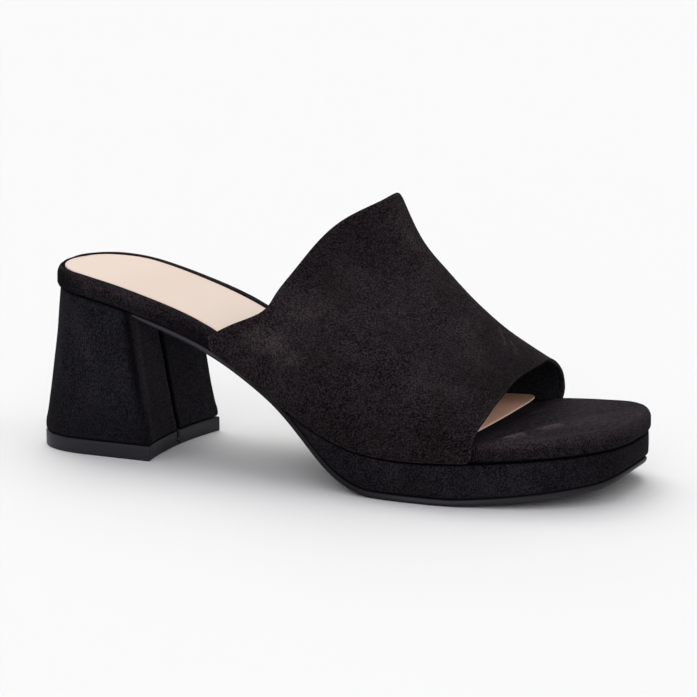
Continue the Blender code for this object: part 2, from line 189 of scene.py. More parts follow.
# waist and ramp, a true flat, then the toe spring
def soleBottom(station):
    share = percent(station)
    waist = curve(tread, 1, share, endSlope=0) * shoe["seatHeight"] / 100
    toe = curve(spring, 1, share, startSlope=0)
    return np.where(share < shoe["flat"][0] * 100, waist, toe)


# the outsole is as thick square to the ramp as it is on the flat
def soleTop(station):
    station, reach = np.asarray(station, float), shoe["slopeReach"]
    fall = (soleBottom(station - reach) - soleBottom(station + reach)) / (2 * reach)
    thickness = curve(spring, 2, percent(station)) * np.hypot(1, np.maximum(fall, 0))
    return np.minimum(soleBottom(station) + thickness, footbedBottom(station) - shoe["gap"])


# neighbouring layers stand a gap apart
def platformBottom(station):
    return soleTop(station) + shoe["gap"]


def platformTop(station):
    return footbedBottom(station) - shoe["gap"]


def insoleBottom(station):
    return footbedTop(station) + shoe["gap"]


def insoleTop(station):
    return insoleBottom(station) + insole["thickness"]


# straight between the rows of its table, as is the reach
def rimInset(station, column):
    return np.interp(percent(station), *np.array(rims, float)[:, [0, column]].T)


def sockReach(station):
    return np.interp(station, *np.array(medialReach).T)


# distance of the sock's rim inside the footprint, on either side
def sockInset(station, side):
    return rimInset(station, 4) - sockReach(station) * smooth(side, 3, -6)


# 1 at the back of the seat's medial side, 0 away from it
def farSeat(station, side):
    return smooth(station, 26, 8) * smooth(side, 6, -8)


# stations from first to last that crowd together, as a cosine does, towards a round end
def crowded(first, last, count, roundFirst=False, roundLast=False):
    t = np.linspace(shoe["pole"] * roundFirst, 1 - shoe["pole"] * roundLast, count)
    if roundFirst and roundLast:
        t = (1 - np.cos(pi * t)) / 2
    elif roundFirst:
        t = 1 - np.cos(pi * t / 2)
    else:
        t = np.sin(pi * t / 2)
    return first + (last - first) * t


# outline in plan, up the lateral side and down the medial side, with round front corners
def outline(lateral, medial, corner=0.0, cornerSteps=10):
    if corner:
        turn = np.linspace(0, pi / 2, cornerSteps + 1)[1:]
        arc = np.column_stack([np.sin(turn), np.cos(turn) - 1]) * corner
        lateral = np.concatenate([lateral, lateral[-1] + arc])
        medial = np.concatenate([medial, medial[-1] + arc * (1, -1)])
    return np.concatenate([lateral, medial[::-1]])


# the footprint's outline at given stations, moved in by one of the rims
def footprintOutline(stations, rimColumn, corner=0.0, medialExtra=0.0):
    lateral = np.column_stack([stations, halfBreadth(stations, True)])
    medial = np.column_stack([stations, -halfBreadth(stations, False) - medialExtra])
    sides = outline(lateral, medial, corner)
    return inward(sides, rimInset(sides[:, 0], rimColumn))


# closed loop of an outline, with points across its front and its back for the cap's columns;
# the front is a parabola pushed forward by the bow
def closeLoop(sides, columns, bow=0.0):
    rows = len(sides) // 2
    lateral, medial = sides[:rows], sides[rows:]
    share = np.linspace(0, 1, columns + 1)[1:-1, None]
    front = lateral[-1] + (medial[0] - lateral[-1]) * share
    front[:, 0] += bow * 4 * share[:, 0] * (1 - share[:, 0])
    back = medial[-1] + (lateral[0] - medial[-1]) * share
    return np.concatenate([lateral, front, medial, back])


# unit vectors, with no division by nought
def unit(vectors):
    return vectors / np.maximum(np.linalg.norm(vectors, axis=-1, keepdims=True), 1e-9)


# moves a loop in plan towards its inside by a distance, with mitred corners
def inward(loop, distance):
    ahead = unit(np.roll(loop, -1, axis=0) - loop)
    normalAhead = np.column_stack([ahead[:, 1], -ahead[:, 0]])
    normalBehind = np.roll(normalAhead, 1, axis=0)
    both = (normalAhead * normalBehind).sum(axis=1, keepdims=True)
    mitre = (normalAhead + normalBehind) / (1 + both)
    return loop + mitre * np.broadcast_to(distance, len(loop))[:, None]


# length along a loop, added up from point to point
def pathLength(loop):
    return np.cumsum(np.linalg.norm(np.roll(loop, -1, axis=0) - loop, axis=1))


# moves a ring in plan out of its inside, square to the chord of near neighbours
def pushOut(ring, amount, reach=3):
    plan = ring[:, :2]
    chord = unit(np.roll(plan, -reach, axis=0) - np.roll(plan, reach, axis=0))
    plan += np.column_stack([-chord[:, 1], chord[:, 0]]) * amount[:, None]


# a soft ridge or trough along each marked line: height times a bell across the line, faded
# towards its two ends; a mark is (first point, last point, width, height)
def softMarks(u, v, marks):
    total = np.zeros(np.broadcast(u, v).shape)
    for (u0, v0), (u1, v1), width, amount in marks:
        du, dv = u1 - u0, v1 - v0
        t = np.clip(((u - u0) * du + (v - v0) * dv) / (du * du + dv * dv), 0, 1)
        away = np.hypot(u - u0 - du * t, v - v0 - dv * t)
        total = total + amount * band(t, -0.05, 0.3, 0.7, 1.05) * bell(away, width)
    return total


# (station, side, height) in millimetres to the frame in metres: toe towards -Y
def toFrame(points):
    station, side, height = points.T
    placed = shoe["originSide"] - side, shoe["originStation"] - station, height
    return np.column_stack(placed) * 0.001


# sign of the volume between the faces and the origin
def facesOutwards(points, quads):
    a, b, c, d = (points[quads[:, k]] for k in range(4))
    return (np.cross(c - a, d - b) * (a + b + c + d)).sum() > 0


# an object in the scene, at the origin
def addObject(name, data):
    made = bpy.data.objects.new(name, data)
    bpy.context.scene.collection.objects.link(made)
    return made


# a mesh object with a value at each point for each mask
def addPiece(name, points, quads, material, masks, closed=True, sharp=50):
    placed = toFrame(points.reshape(-1, 3))
    if closed and not facesOutwards(placed, quads):
        quads = quads[:, ::-1]
    mesh = bpy.data.meshes.new(name)
    mesh.from_pydata(placed.tolist(), [], quads.tolist())
    mesh.shade_smooth()
    mesh.set_sharp_from_angle(angle=radians(sharp))
    for label, values in masks.items():
        layer = mesh.attributes.new(label, "FLOAT", "POINT")
        values = np.broadcast_to(np.ravel(values), len(placed)).astype(np.float32)
        layer.data.foreach_set("value", values)
    mesh.materials.append(material)
    mesh.validate()
    return addObject(name, mesh)


# quads between neighbouring rows and columns of a grid of vertex numbers
def gridQuads(ids, wrap=False):
    if wrap:
        ids = np.concatenate([ids, ids[:, :1]], axis=1)
    corners = ids[:-1, :-1], ids[:-1, 1:], ids[1:, 1:], ids[1:, :-1]
    return np.stack(corners, axis=-1).reshape(-1, 4)


# vertex numbers of a cap: its border is the ring, its inside is new points
def capIds(rows, columns, ringStart, insideStart):
    ids = np.empty((rows, columns + 1), int)
    inside = insideStart + np.arange((rows - 2) * (columns - 1))
    ids[1:-1, 1:-1] = inside.reshape(rows - 2, columns - 1)
    ring = ringStart + np.arange(2 * (rows + columns - 1))
    turns = [rows, rows + columns - 1, 2 * rows + columns - 1]
    ids[:, 0], ids[-1, 1:-1], ids[::-1, -1], ids[0, -2:0:-1] = np.split(ring, turns)
    return ids


# fills the inside of a border with a Coons patch: the blend between the two sides, plus the
# blend between the two ends, less the blend of the four corners
def coonsInside(ring, rows, columns):
    ids = capIds(rows, columns, 0, 0)
    left, right = ring[ids[:, 0]][:, None], ring[ids[:, -1]][:, None]
    back, front = ring[ids[0]][None], ring[ids[-1]][None]
    u = np.linspace(0, 1, columns + 1)[None, :, None]
    v = np.linspace(0, 1, rows)[:, None, None]
    corners = (ring[ids[0, 0]] * (1 - u) + ring[ids[0, -1]] * u) * (1 - v)
    corners = corners + (ring[ids[-1, 0]] * (1 - u) + ring[ids[-1, -1]] * u) * v
    patch = left * (1 - u) + right * u + (back * (1 - v) + front * v) - corners
    return patch[1:-1, 1:-1].reshape(-1, ring.shape[1])


# a solid from rings that run from its underside to its top, closed by a cap at each end; a
# cap's height is low or high at its stations plus its relief
def solidFromRings(rings, columns, low, high, lowRelief=None, highRelief=None):
    count, size = len(rings) * len(rings[0]), len(rings[0])
    rows = size // 2 - columns + 1
    caps = []
    for ring, surface, relief in ((rings[0], low, lowRelief), (rings[-1], high, highRelief)):
        station, side = coonsInside(ring[:, :2], rows, columns).T
        height = surface(station) + (relief(station, side) if relief else 0.0)
        caps.append(np.column_stack([station, side, height]))
    quads = [
        gridQuads(np.arange(count).reshape(-1, size), wrap=True),
        gridQuads(capIds(rows, columns, 0, count))[:, ::-1],
        gridQuads(capIds(rows, columns, count - size, count + len(caps[0]))),
    ]
    return np.concatenate([*rings, *caps]), np.concatenate(quads)


# rings of a layer with rounded rims: the round's sine carries the rim inwards and its cosine
# carries it up or down
def layerRings(sides, piece, bottom, top):
    columns, bow = piece["columns"], piece.get("bow", 0.0)
    wall = closeLoop(sides, columns, bow)
    turns = np.linspace(0, pi / 2, piece["steps"] + 1)

    def rimRings(surface, size, up, turns):
        inset, rise = (np.minimum(size, shoe["roundLimit"] * (top(at[:, 0]) - bottom(at[:, 0])))
                       for at in (sides, wall))
        for turn in turns:
            ring = closeLoop(inward(sides, inset * (1 - sin(turn))), columns, bow)
            height = surface(ring[:, 0]) + up * rise * (1 - cos(turn))
            yield np.column_stack([ring, height])

    low = [*rimRings(bottom, piece["rounds"][0], 1, turns)]
    high = [*rimRings(top, piece["rounds"][1], -1, turns[::-1])]
    shares = np.linspace(0, 1, piece["wallSteps"] + 1)[1:-1]
    return low + [low[-1] + (high[0] - low[-1]) * share for share in shares] + high


# links a socket to an input, or sets its value
def fill(node, values):
    for key, value in values.items():
        if isinstance(value, bpy.types.NodeSocket):
            node.id_data.links.new(value, node.inputs[key])
        else:
            node.inputs[key].default_value = value


# a node with its settings, and its inputs by name or number
def addNode(tree, kind, values=None, **settings):
    made = tree.nodes.new(kind)
    for key, value in settings.items():
        setattr(made, key, value)
    fill(made, values or {})
    return made


# a group with its inputs' usual values; a colour is four numbers, and any other a single one
def newGroup(name, inputs, outputs):
    group = bpy.data.node_groups.new(name, "ShaderNodeTree")
    for label, value in inputs.items():
        kind = "NodeSocketColor" if isinstance(value, tuple) else "NodeSocketFloat"
        socket = group.interface.new_socket(name=label, in_out="INPUT", socket_type=kind)
        socket.default_value = value
    for label, kind in outputs.items():
        group.interface.new_socket(name=label, in_out="OUTPUT", socket_type=kind)
    given = group.nodes.new("NodeGroupInput").outputs
    return given, objectPlace(group), group.nodes.new("NodeGroupOutput")


# these take the node tree from their first socket
def mathNode(operation, first, second, clamp=False):
    return addNode(first.id_data, "ShaderNodeMath", {0: first, 1: second},
                   operation=operation, use_clamp=clamp).outputs[0]


def times(first, second, clamp=False):
    return mathNode("MULTIPLY", first, second, clamp)


def plus(first, second):
    return mathNode("ADD", first, second)


# the sum of two sockets, each times its share
def shared(first, second, shares):
    return plus(times(first, shares[0]), times(second, shares[1]))


def scaled(vector, by):
    return addNode(vector.id_data, "ShaderNodeVectorMath", {0: vector, 1: by},
                   operation="MULTIPLY").outputs[0]


def mixColours(factor, first, second):
    values = {0: factor, 6: first, 7: second}
    return addNode(factor.id_data, "ShaderNodeMix", values, data_type="RGBA").outputs[2]


# 0 below the span and 1 above it, with a soft start and end
def stretch(value, span):
    values = {0: value, 1: span[0], 2: span[1]}
    return addNode(value.id_data, "ShaderNodeMapRange", values,
                   interpolation_type="SMOOTHSTEP").outputs[0]


def noise(place, scale, detail, rough=0.5, distortion=0.0):
    values = {"Vector": place, "Scale": scale, "Detail": detail, "Roughness": rough,
              "Distortion": distortion}
    return addNode(place.id_data, "ShaderNodeTexNoise", values).outputs[0]


def cellPattern(place, scale):
    values = {"Vector": place, "Scale": scale}
    return addNode(place.id_data, "ShaderNodeTexVoronoi", values).outputs


def objectPlace(tree):
    return addNode(tree, "ShaderNodeTexCoord").outputs["Object"]


nap = {
    "squeeze": (1.0, 0.50, 1.0),  # fibres are long across their slant
    "laid": (0.55, 1.0, 1.0),  # streaks of the toe are long across the shoe
    "streakScale": 1150.0, "warmScale": 55.0,
    # noise between which each layer turns from dark to light
    "fibreSpan": (0.43, 0.60), "streakSpan": (0.36, 0.66), "clumpSpan": (0.30, 0.70),
    "patchSpan": (0.34, 0.68), "warmSpan": (0.50, 0.72),
    "toneShares": (0.68, 0.17), "heightShares": (0.55, 0.45),  # of fibre and clump
    "patchShare": 0.15, "warmShare": 0.45,
    "paler": (2.3, 2.1, 1.98),  # fibres paler with wear, and painted highlights, times the light colour
    "rubGain": 1.3, "rubStart": 0.15, "edgeGain": 0.5, "edgeStart": 0.2,
    # colour of painted shade, where a piece's shade mask is full
    "deepest": (0.0004, 0.0003, 0.0004, 1),
    "lintColour": (0.10, 0.095, 0.09, 1),
    "lintScale": 145.0, "lintSize": 0.055, "lintRare": 0.982,
}


# nap of brushed microfibre: short slanted fibres, clumps of them, and broad brushed patches
def makeNapGroup():
    given, place, result = newGroup("brushedNap", {
        "Dark": (0.006, 0.005, 0.006, 1), "Light": (0.030, 0.026, 0.028, 1),
        "Warm": (0.0110, 0.0078, 0.0070, 1),
        "Fibre Scale": 2500.0, "Clump Scale": 420.0, "Patch Scale": 30.0, "Slant": 0.6,
        "Rub": 0.0, "Edge": 0.0, "Shade": 0.0, "Level": 0.0, "Lint": 1.0,
    }, {"Colour": "NodeSocketColor", "Height": "NodeSocketFloat"})
    group = place.id_data
    turn = addNode(group, "ShaderNodeCombineXYZ", {0: given["Slant"]}).outputs[0]
    lean = addNode(group, "ShaderNodeVectorRotate", {0: place, 4: turn},
                   rotation_type="EULER_XYZ").outputs[0]
    squeezed, laid = scaled(lean, nap["squeeze"]), scaled(place, nap["laid"])
    fibre = stretch(noise(squeezed, given["Fibre Scale"], 2.0, 0.6), nap["fibreSpan"])
    clump = stretch(noise(squeezed, given["Clump Scale"], 2.0, 0.6), nap["clumpSpan"])
    patch = stretch(noise(place, given["Patch Scale"], 4.0, 0.55, 0.8), nap["patchSpan"])
    streak = stretch(noise(laid, nap["streakScale"], 2.0, 0.6), nap["streakSpan"])
    warm = stretch(noise(place, nap["warmScale"], 2.0, 0.5, 0.3), nap["warmSpan"])
    fibre = addNode(group, "ShaderNodeMix", {0: given["Level"], 2: fibre, 3: streak}).outputs[0]
    tone = shared(fibre, clump, nap["toneShares"])
    tone = plus(tone, times(patch, nap["patchShare"]))
    colour = mixColours(tone, given["Dark"], given["Light"])
    colour = mixColours(times(times(warm, nap["warmShare"]), tone), colour, given["Warm"])
    # brushed places and edges with wear stand lighter, where the fibres lie the other way; the
    # same two masks also carry painted highlights on folds, ridges and lit edges
    paler = scaled(given["Light"], nap["paler"])
    rubbed = times(given["Rub"], plus(times(tone, nap["rubGain"]), nap["rubStart"]))
    colour = mixColours(mathNode("MINIMUM", rubbed, 1.0), colour, paler)
    paleEdge = times(given["Edge"], plus(fibre, nap["edgeStart"]))
    colour = mixColours(times(paleEdge, nap["edgeGain"], clamp=True), colour, paler)
    # painted shade: the shade mask darkens the nap towards the deepest colour
    colour = mixColours(times(given["Shade"], 1.0, clamp=True), colour, nap["deepest"])
    # a few pale specks of lint, at the middles of rare cells
    cells = cellPattern(place, nap["lintScale"])
    near = mathNode("LESS_THAN", cells["Distance"], nap["lintSize"])
    pick = addNode(group, "ShaderNodeSeparateColor", {0: cells["Color"]}).outputs[0]
    rare = mathNode("GREATER_THAN", pick, nap["lintRare"])
    colour = mixColours(times(times(near, rare), given["Lint"]), colour, nap["lintColour"])
    fill(result, {"Colour": colour, "Height": shared(fibre, clump, nap["heightShares"])})
    return group


grain = {
    "cellSpan": (0.1, 0.7), "cloudSpan": (0.3, 0.7),
    "toneShares": (0.7, 0.3),  # of cloud and speckle
    "heightShares": (-0.6, 0.4),  # of cells and speckle
    "roughSwing": 0.16,
}


# fine grain: small cells softened by noise, for pressed leather and moulded rubber
def makeGrainGroup():
    given, place, result = newGroup("fineGrain", {
        "Base": (0.5, 0.5, 0.5, 1), "Tone": (0.4, 0.4, 0.4, 1),
        "Cell Scale": 1400.0, "Cloud Scale": 28.0, "Roughness": 0.5,
    }, {"Colour": "NodeSocketColor", "Roughness": "NodeSocketFloat", "Height": "NodeSocketFloat"})
    cell = stretch(cellPattern(place, given["Cell Scale"])["Distance"], grain["cellSpan"])
    cloud = stretch(noise(place, given["Cloud Scale"], 4.0), grain["cloudSpan"])
    speckle = noise(place, given["Cell Scale"], 2.0)
    blend = shared(cloud, speckle, grain["toneShares"])
    swing = times(mathNode("SUBTRACT", cloud, 0.5), grain["roughSwing"])
    fill(result, {
        "Colour": mixColours(blend, given["Base"], given["Tone"]),
        "Roughness": plus(given["Roughness"], swing),
        "Height": shared(cell, speckle, grain["heightShares"]),
    })
    return place.id_data


napGroup = makeNapGroup()
grainGroup = makeGrainGroup()
# painted highlight and painted shade on moulded rubber
rubberLightAndShade = (("edge", 1.0, (3.0, 3.0, 3.1)), ("shade", 1.0, (0.0008, 0.0008, 0.0009, 1)))


def newMaterial(name):
    material = bpy.data.materials.new(name)
    material.use_nodes = True
    return material, material.node_tree, material.node_tree.nodes["Principled BSDF"]


# the values that addPiece stores at a piece's points
def mask(tree, label):
    return addNode(tree, "ShaderNodeAttribute", attribute_name=label).outputs["Fac"]


def bumpTo(surface, height, bump):
    values = {"Height": height, "Strength": bump[0], "Distance": bump[1]}
    fill(surface, {"Normal": addNode(height.id_data, "ShaderNodeBump", values).outputs[0]})


suede = {
    "Roughness": 0.92, "Specular IOR Level": 0.02,
    "Sheen Weight": 0.012, "Sheen Roughness": 0.40, "Sheen Tint": (0.95, 0.86, 0.92, 1),
}
suedeBump = (0.9, 0.00022)  # strength, distance in metres


# the nap under a piece's four masks
def suedeMaterial(name, look):
    material, tree, surface = newMaterial(name)
    masks = {label: mask(tree, label.lower()) for label in ("Rub", "Edge", "Shade", "Level")}
    made = addNode(tree, "ShaderNodeGroup", look | masks, node_tree=napGroup)
    fill(surface, suede | {"Base Color": made.outputs["Colour"]})
    bumpTo(surface, made.outputs["Height"], suedeBump)
    return material


# grain under tints: each is a mask, its share and a colour, or how many times paler it turns
# the grain
def grainMaterial(name, piece):
    material, tree, surface = newMaterial(name)
    made = addNode(tree, "ShaderNodeGroup", piece["look"], node_tree=grainGroup).outputs
    colour = made["Colour"]
    for label, share, tone in piece["tints"]:
        factor = mask(tree, label)
        factor = times(factor, share) if share < 1 else factor
        colour = mixColours(factor, colour, tone if len(tone) == 4 else scaled(colour, tone))
    fill(surface, {"Base Color": colour, "Roughness": made["Roughness"],
                   "Specular IOR Level": piece["gloss"]})
    bumpTo(surface, made["Height"], piece["bump"])
    return material


print("materials: nap and grain groups are ready")


footbed = {
    "rows": 210, "columns": 84, "steps": 7, "wallSteps": 3,
    "rounds": (1.6, 2.7),  # of the lower and the upper rim
    "crown": 0.35, "ripple": 0.09,  # foam under the suede at the toe
    "roll": 1.40,  # height of the soft rim round the sock
    "lift": 0.10,  # share by which it is higher at the back of the medial side
    "sag": 0.15,  # share by which it is lower along that side
    "tip": 0.7,
    "shade": (0.9, 0.15),  # heights above the underside between which the side darkens, a painted shade of the groove over the platform
    "hollow": (0.5, 0.95),  # shade towards the upper's back corner, and round the back
    "brush": 0.10, "seatEdge": 0.35,
    "level": 0.8,  # share of level streaks on top of the toe
    "gathers": 0.16,  # pleats where the suede is drawn round the back of the seat
    "gatherCount": 120,
    # folds and dents of the toe: first point, last point, width, height
    "folds": (
        ((193, 38), (202, 19), 2.3, 0.75), ((201, 20), (209.5, 3), 2.0, 0.60),
        ((190.5, 34), (198, 17), 2.2, -0.75), ((197, 12), (204, -6), 3.0, -0.50),
        ((185, 0), (185, -14), 2.2, -0.60), ((182.5, -18), (184.5, -30), 2.4, -0.50),
        ((190, -4), (196, -24), 2.6, 0.45), ((219, 20), (228, 6), 2.2, -0.60),
        ((224, 12), (227.5, -8), 2.4, 0.45), ((212, -6), (221, -26), 3.6, -0.50),
        ((205, 30), (216, 17), 3.0, -0.50), ((213, 8), (219, -10), 2.6, 0.35),
    ),
    # pale streaks on the toe: partly paler nap, partly painted highlights along the folds
    "rubs": (
        ((194, 35.5), (199.5, 26), 3.0, 1.15), ((201.5, 20), (207.5, 8), 2.8, 1.00),
        ((186, -8), (192, -18), 1.6, 0.45), ((208, 12), (222, -4), 6.0, 0.16),
        ((190, 40), (214, 33), 2.0, 0.14),
    ),
    "look": {"Dark": (0.0011, 0.0009, 0.0011, 1), "Light": (0.0215, 0.0178, 0.0216, 1),
             "Slant": 1.2},
}


# relief of the top: a roll round the seat, outside the sock, that stands as high as the sock;
# a crown, folds and fine ripples on the padded toe; and a fuller rim at the tip
def footbedRelief(station, side):
    rim = distanceToRim(station, side)
    toe, inside = smooth(station, 176, 192), smooth(rim, 2.0, 9.0)
    ripple = np.sin(station / 2.9 + side / 7.1) * np.sin(side / 3.7 - station / 8.3)
    folds = softMarks(station, side, footbed["folds"]) + footbed["ripple"] * ripple * inside
    roll = smooth(sockInset(station, side) - rim, -0.2, 1.1) * smooth(station, 100, 84)
    roll = roll * footbed["roll"] * (1 + footbed["lift"] * farSeat(station, side))
    roll = roll * (1 - footbed["sag"] * smooth(side, 0, -12) * smooth(station, 70, 35))
    tip = footbed["tip"] * smooth(station, 205, 226) * smooth(np.abs(rim - 1.5), 6.0, 0.5)
    return roll + tip + toe * (footbed["crown"] * inside + folds)


def makeFootbed():
    columns = footbed["columns"]
    sides = footprintOutline(crowded(0, shoe["length"], footbed["rows"], True, True), 1)
    rings = layerRings(sides, footbed, footbedBottom, footbedTop)
    # pleats run up and down the lower rim round the back of the seat
    along = pathLength(closeLoop(sides, columns))
    wave = np.sin(along / along[-1] * 2 * pi * footbed["gatherCount"])
    wave = wave * smooth(26.0 - rings[0][:, 0], 0, 16)
    for level, ring in zip(np.linspace(0, 1, len(rings)), rings):
        pushOut(ring, footbed["gathers"] * band(level, 0.0, 0.12, 0.1, 0.62) * wave)
        ring[:, 2] += footbedRelief(ring[:, 0], ring[:, 1]) * smooth(level, 0.55, 1.0)
    points, quads = solidFromRings(rings, columns, footbedBottom, footbedTop,
                                   highRelief=footbedRelief)
    station, side, height = points.T
    height = height - footbedBottom(station)
    rim = distanceToRim(station, side)
    top, toe = smooth(height, 3.0, 6.0), smooth(station, 180, 190)
    rub = softMarks(station, side, footbed["rubs"]) * top
    rub = rub + footbed["brush"] * top * (toe + smooth(rim, 4.5, 0.5))
    edge = footbed["seatEdge"] * top * smooth(np.abs(rim - 0.6), 3.2, 0.7)
    # painted shade: a dark line in the gap along the sock's edge, the side towards its underside,
    # and the hollows
    sockLine = smooth(rim - sockInset(station, side), -0.9, -0.2) * top
    sockLine = sockLine * (station < insole["front"]) * (rim < 8)
    corner, back = footbed["hollow"]
    hollow = corner * band(station, 40, 72, 82, 92) * (side > 0) + back * smooth(station, 24, 6)
    hollow = hollow * (1 - top * smooth(rim, 0.5, 2.5))
    low = smooth(height, *footbed["shade"]) * (1 - 0.6 * smooth(station, 60, 40))
    shade = np.max([sockLine, low, hollow], axis=0)
    level = footbed["level"] * top * toe * smooth(rim, 0.8, 3.0)
    piece = addPiece("footbedWrap", points, quads, suedeMaterial("footbedSuede", footbed["look"]),
                     {"rub": rub, "edge": edge, "shade": shade, "level": level})
    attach(piece, "root")
    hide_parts("footbed")


insole = {
    "rows": 130, "columns": 60, "steps": 4, "wallSteps": 2,
    "rounds": (0.3, 0.3),
    "thickness": 0.7,
    "front": 183.1,  # before its rim is set in
    "bow": 0.9, "skew": 0.8, "corner": 8.6, "fade": 8,
    "border": 2.2,
    "curl": 0.6,  # its medial rim rides up on the lining
    "dip": 0.3,  # and dips behind the footbed's roll at the back
    "warmBounce": (110, 168),  # stations over which painted warm bounce light turns the leather pinker
    "seatGloom": 0.33,
    # the cut edge is lighter, and the border beside it a little darker; painted shade darkens the
    # sock under the lining and at the back of the seat, and painted warm bounce light turns it
    # pinker under the upper
    "tints": (
        ("warmBounce", 1.0, (1.0, 0.56, 0.40, 1)), ("border", 0.30, (0.50, 0.33, 0.26, 1)),
        ("gloom", 0.60, (0.22, 0.10, 0.06, 1)), ("edge", 1.0, (0.95, 0.84, 0.76, 1)),
    ),
    "look": {"Base": (0.572, 0.467, 0.394, 1), "Tone": (0.610, 0.509, 0.435, 1),
             "Cell Scale": 1900.0, "Cloud Scale": 22.0, "Roughness": 0.55},
    "gloss": 0.35, "bump": (0.25, 0.00008),  # strength, distance in metres
}


def makeInsole():
    last = insole["front"] - insole["corner"]
    stations = crowded(0, last, insole["rows"], roundFirst=True)
    sides = footprintOutline(stations, 4, insole["corner"], sockReach(stations))
    skew = insole["skew"] * sides[:, 1] / shoe["ballWidth"]
    sides[:, 0] += skew * (sides[:, 0] / last) ** insole["fade"]
    rings = layerRings(sides, insole, insoleBottom, insoleTop)
    points, quads = solidFromRings(rings, insole["columns"], insoleBottom, insoleTop)
    station, side, height = points.T
    height = height - insoleBottom(station)
    rim = distanceToRim(station, side) - sockInset(station, side)
    top = smooth(height, 0.2, 0.6)
    border = smooth(rim, insole["border"], 0.4) * top
    edge = smooth(height, 0.62, 0.45) * (0.5 + 0.5 * smooth(station, 150, 172))
    # painted shade where the sock runs under the lining and towards the back of the seat
    tucked = smooth(station, 125, 160) * (side < 0)
    seatGloom = insole["seatGloom"] * smooth(station, 85, 35)
    gloom = np.maximum(tucked * smooth(rim, 24, 2), seatGloom) * top
    # painted warm bounce light under the upper
    warmBounce = smooth(station, *insole["warmBounce"])
    lift = insole["curl"] * tucked * smooth(rim, 8, 0)
    points[:, 2] += lift - insole["dip"] * farSeat(station, side) * smooth(rim, 3.0, 0.2) * top
    piece = addPiece("insoleSock", points, quads, grainMaterial("sockLeather", insole),
                     {"border": border, "edge": edge, "warmBounce": warmBounce, "gloom": gloom})
    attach(piece, "root")
    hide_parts("insole")


platform = {
    "rampRows": 60, "toeRows": 70, "columns": 70, "steps": 6, "wallSteps": 8,
    "rounds": (0.9, 0.9),
    "start": 110.0,
    "shade": (0.8, 0.1),  # distances below its top between which it darkens, a painted shade of the groove under the footbed
    # toeShade darkens the wall at the toe, a painted shade
    "toeShade": 0.25, "edge": 0.12, "rub": 0.05,
    "bulge": 0.25, "wave": 0.07,
    "look": {"Dark": (0.0014, 0.0012, 0.0016, 1), "Light": (0.0218, 0.0195, 0.0238, 1),
             "Slant": 0.9, "Lint": 0.6},
}


# even steps down the ramp and along the flat, then steps that crowd towards the tip
def forefootStations():
    flatEnd = shoe["flat"][1] * shoe["length"]
    ramp = np.linspace(platform["start"], flatEnd, platform["rampRows"])
    toe = crowded(flatEnd, shoe["length"], platform["toeRows"], roundLast=True)
    return np.concatenate([ramp, toe[1:]])


def makePlatform():
    sides = footprintOutline(forefootStations(), 2)
    rings = layerRings(sides, platform, platformBottom, platformTop)
    along = pathLength(closeLoop(sides, platform["columns"]))
    for level, ring in zip(np.linspace(0, 1, len(rings)), rings):
        middle = sin(pi * level)
        wave = platform["wave"] * np.sin(along / 5.3) * np.sin(along / 13.7 + level * 2.0)
        pushOut(ring, platform["bulge"] * middle**2 + wave * middle)
    points, quads = solidFromRings(rings, platform["columns"], platformBottom, platformTop)
    station = points[:, 0]
    below = platformTop(station) - points[:, 2]
    shade = smooth(below, *platform["shade"])
    # painted shade towards the toe
    shade = np.maximum(shade, platform["toeShade"] * smooth(station, 200, 226))
    edge = platform["edge"] * band(below, 1.0, 1.6, 1.6, 3.0)
    rub = platform["rub"] * smooth(np.sin(station / 9.0) * np.sin(station / 3.7), 0.2, 1.0)
    piece = addPiece("platformWrap", points, quads,
                     suedeMaterial("platformSuede", platform["look"]),
                     {"rub": rub, "edge": edge, "shade": shade, "level": 0})
    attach(piece, "root")
    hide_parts("platform")


outsole = {
    "shankRows": 44, "columns": 70, "steps": 5, "wallSteps": 3,
    "rounds": (1.1, 0.9),
    "start": 41.2,
    "treadPitch": 5.0, "treadDepth": 0.45,
    "treadBorder": (7.0, 8.2), "treadSpan": (128, 131, 219, 222),
    "rampSpan": (90, 105, 138, 150), "rampShade": 0.55,
    "look": {"Base": (0.010, 0.0094, 0.0108, 1), "Tone": (0.014, 0.0128, 0.0150, 1),
             "Cell Scale": 2400.0, "Cloud Scale": 35.0, "Roughness": 0.50},
    "tints": rubberLightAndShade,
    "gloss": 0.14, "bump": (0.2, 0.00006),
}


# waves of grooves across the underside, away from its border: cosine ridges with flat tops
def treadRelief(station, side):
    wave = np.cos(2 * pi * (station + 2.2 * np.cos(side / 6.5)) / outsole["treadPitch"])
    inside = smooth(distanceToRim(station, side), *outsole["treadBorder"])
    forefoot = band(station, *outsole["treadSpan"])
    return outsole["treadDepth"] * smooth(wave, 0.35, 0.8) * inside * forefoot


def makeOutsole():
    shank = np.linspace(outsole["start"], platform["start"], outsole["shankRows"])
    sides = footprintOutline(np.concatenate([shank[:-1], forefootStations()]), 3)
    rings = layerRings(sides, outsole, soleBottom, soleTop)
    points, quads = solidFromRings(rings, outsole["columns"], soleBottom, soleTop, treadRelief)
    station, side, height = points.T
    share = (height - soleBottom(station)) / (soleTop(station) - soleBottom(station))
    ramp, toe = band(station, *outsole["rampSpan"]), smooth(station, 175, 200)
    # painted highlight along the rounded side, strongest in the shank, weaker on the ramp, and
    # lower on the side at the toe
    edge = band(share, 0.25, 0.6, 0.8, 1.0) * (1 - 0.6 * ramp)
    edge = edge * (1 - toe) + toe * 0.8 * smooth(share, 0.7, 0.15)
    edge = edge * (0.15 + 0.85 * smooth(station, 96, 76) + 0.60 * smooth(station, 148, 166))
    # painted shade along the bottom near the ground, and over the ramp
    shade = smooth(share, 0.25, 0.05) * (distanceToRim(station, side) < 3)
    shade = np.maximum(shade * band(station, 125, 145, 195, 215), outsole["rampShade"] * ramp)
    piece = addPiece("outsoleRubber", points, quads, grainMaterial("outsoleRubber", outsole),
                     {"edge": edge, "shade": shade}, sharp=40)
    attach(piece, "root")
    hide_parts("outsole")


